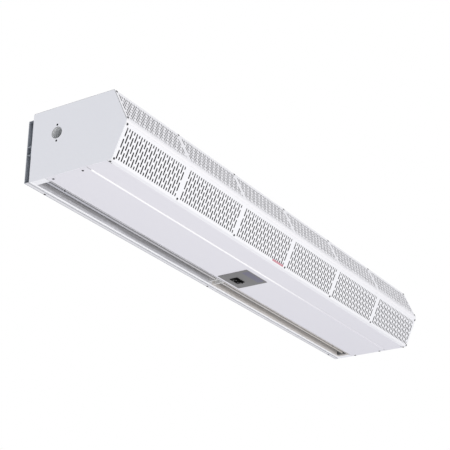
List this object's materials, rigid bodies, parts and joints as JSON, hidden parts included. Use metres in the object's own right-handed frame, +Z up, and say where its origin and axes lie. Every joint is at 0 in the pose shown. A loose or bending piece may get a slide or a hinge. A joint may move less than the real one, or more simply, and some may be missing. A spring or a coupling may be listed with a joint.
{
  "type": "air curtain",
  "caption": "Long over-door air curtain: wedge-fronted sheet-metal casing with slotted intake screens, wall bracket, blowers and a rear floor-facing nozzle with tilting vanes",
  "frame": {"origin": "on the wall plane, at the centre of the four wall bolt holes", "axes": "+X along the casing to its far end, +Y into the wall, +Z up; the room is to -Y"},
  "size_m": [1.829, 0.3457, 0.2205],
  "materials": {
    "white_sheet": "fine-textured white powder coat",
    "zinc_sheet": "spangled zinc-coated sheet",
    "plate_grey": "matt grey powder coat",
    "switch_black": "smooth black nylon",
    "vane_metal": "drawn, clear anodised",
    "bracket_plastic": "moulded black nylon",
    "bracket_zinc": "bright zinc plate",
    "motor_body": "die-cast, grey enamel",
    "shaft_steel": "ground",
    "mount_rubber": "moulded black rubber",
    "wheel_zinc": "zinc-coated strip",
    "capacitor_can": "drawn can",
    "lead_jacket": "smooth black sleeving",
    "screw_steel": "bright zinc plate"
  },
  "bodies": {
    "casing": {"cabinet_shell": "white_sheet", "end_panel_left": "white_sheet", "end_panel_right": "white_sheet", "intake_screen_upper": "white_sheet", "intake_screen_lower": "white_sheet", "front_strip": "white_sheet", "access_panel": "white_sheet", "wall_bracket": "white_sheet", "spacer_rail": "white_sheet", "screen_stays": "zinc_sheet", "junction_box": "zinc_sheet", "capacitor_clips": "zinc_sheet", "motor_cradle_left": "zinc_sheet", "motor_cradle_right": "zinc_sheet", "motor_straps_left": "zinc_sheet", "motor_straps_right": "zinc_sheet", "blower_housing_1": "zinc_sheet", "blower_housing_2": "zinc_sheet", "blower_housing_3": "zinc_sheet", "blower_housing_4": "zinc_sheet", "blower_deck": "zinc_sheet", "nozzle_left": "zinc_sheet", "nozzle_right": "zinc_sheet", "hanger_angle": "zinc_sheet", "lock_angle": "zinc_sheet", "control_plate": "plate_grey", "switch_body_power": "switch_black", "switch_body_speed": "switch_black", "vane_bracket_left": "bracket_plastic", "vane_bracket_right": "bracket_plastic", "vane_bracket_centre": "bracket_zinc", "motor_left": "motor_body", "motor_right": "motor_body", "motor_rings_left": "mount_rubber", "motor_rings_right": "mount_rubber", "capacitor_left": "capacitor_can", "capacitor_right": "capacitor_can", "motor_lead_left": "lead_jacket", "motor_lead_right": "lead_jacket", "hanging_nuts": "screw_steel", "upper_screws": "screw_steel", "lower_screws": "screw_steel", "nose_screws": "screw_steel", "lip_screws": "screw_steel", "panel_screws": "screw_steel", "bracket_screws": "screw_steel"},
    "rotor_left": {"shaft_left": "shaft_steel", "blower_wheel_1": "wheel_zinc", "blower_wheel_2": "wheel_zinc"},
    "rotor_right": {"shaft_right": "shaft_steel", "blower_wheel_3": "wheel_zinc", "blower_wheel_4": "wheel_zinc"},
    "vane_left": {"vane_left": "vane_metal"},
    "vane_right": {"vane_right": "vane_metal"},
    "rocker_power": {"rocker_power": "switch_black"},
    "rocker_speed": {"rocker_speed": "switch_black"}
  },
  "joints": [
    {"name": "rotor_left_spin", "type": "hinge", "parent": "casing", "child": "rotor_left", "pos_m": [-0.45725, -0.1154, 0.02735], "axis": [1, 0, 0], "continuous": true},
    {"name": "rotor_right_spin", "type": "hinge", "parent": "casing", "child": "rotor_right", "pos_m": [0.45725, -0.1154, 0.02735], "axis": [1, 0, 0], "continuous": true},
    {"name": "vane_left_tilt", "type": "hinge", "parent": "casing", "child": "vane_left", "pos_m": [-0.44955, -0.0497, -0.0715], "axis": [1, 0, 0], "range_deg": [-20, 20]},
    {"name": "vane_right_tilt", "type": "hinge", "parent": "casing", "child": "vane_right", "pos_m": [0.44955, -0.0497, -0.0715], "axis": [1, 0, 0], "range_deg": [-20, 20]},
    {"name": "rocker_power_tip", "type": "hinge", "parent": "casing", "child": "rocker_power", "pos_m": [-0.0032, -0.12, -0.097], "axis": [-1, 0, 0], "range_deg": [0, 24]},
    {"name": "rocker_speed_tip", "type": "hinge", "parent": "casing", "child": "rocker_speed", "pos_m": [0.0228, -0.12, -0.097], "axis": [-1, 0, 0], "range_deg": [0, 24]}
  ]
}
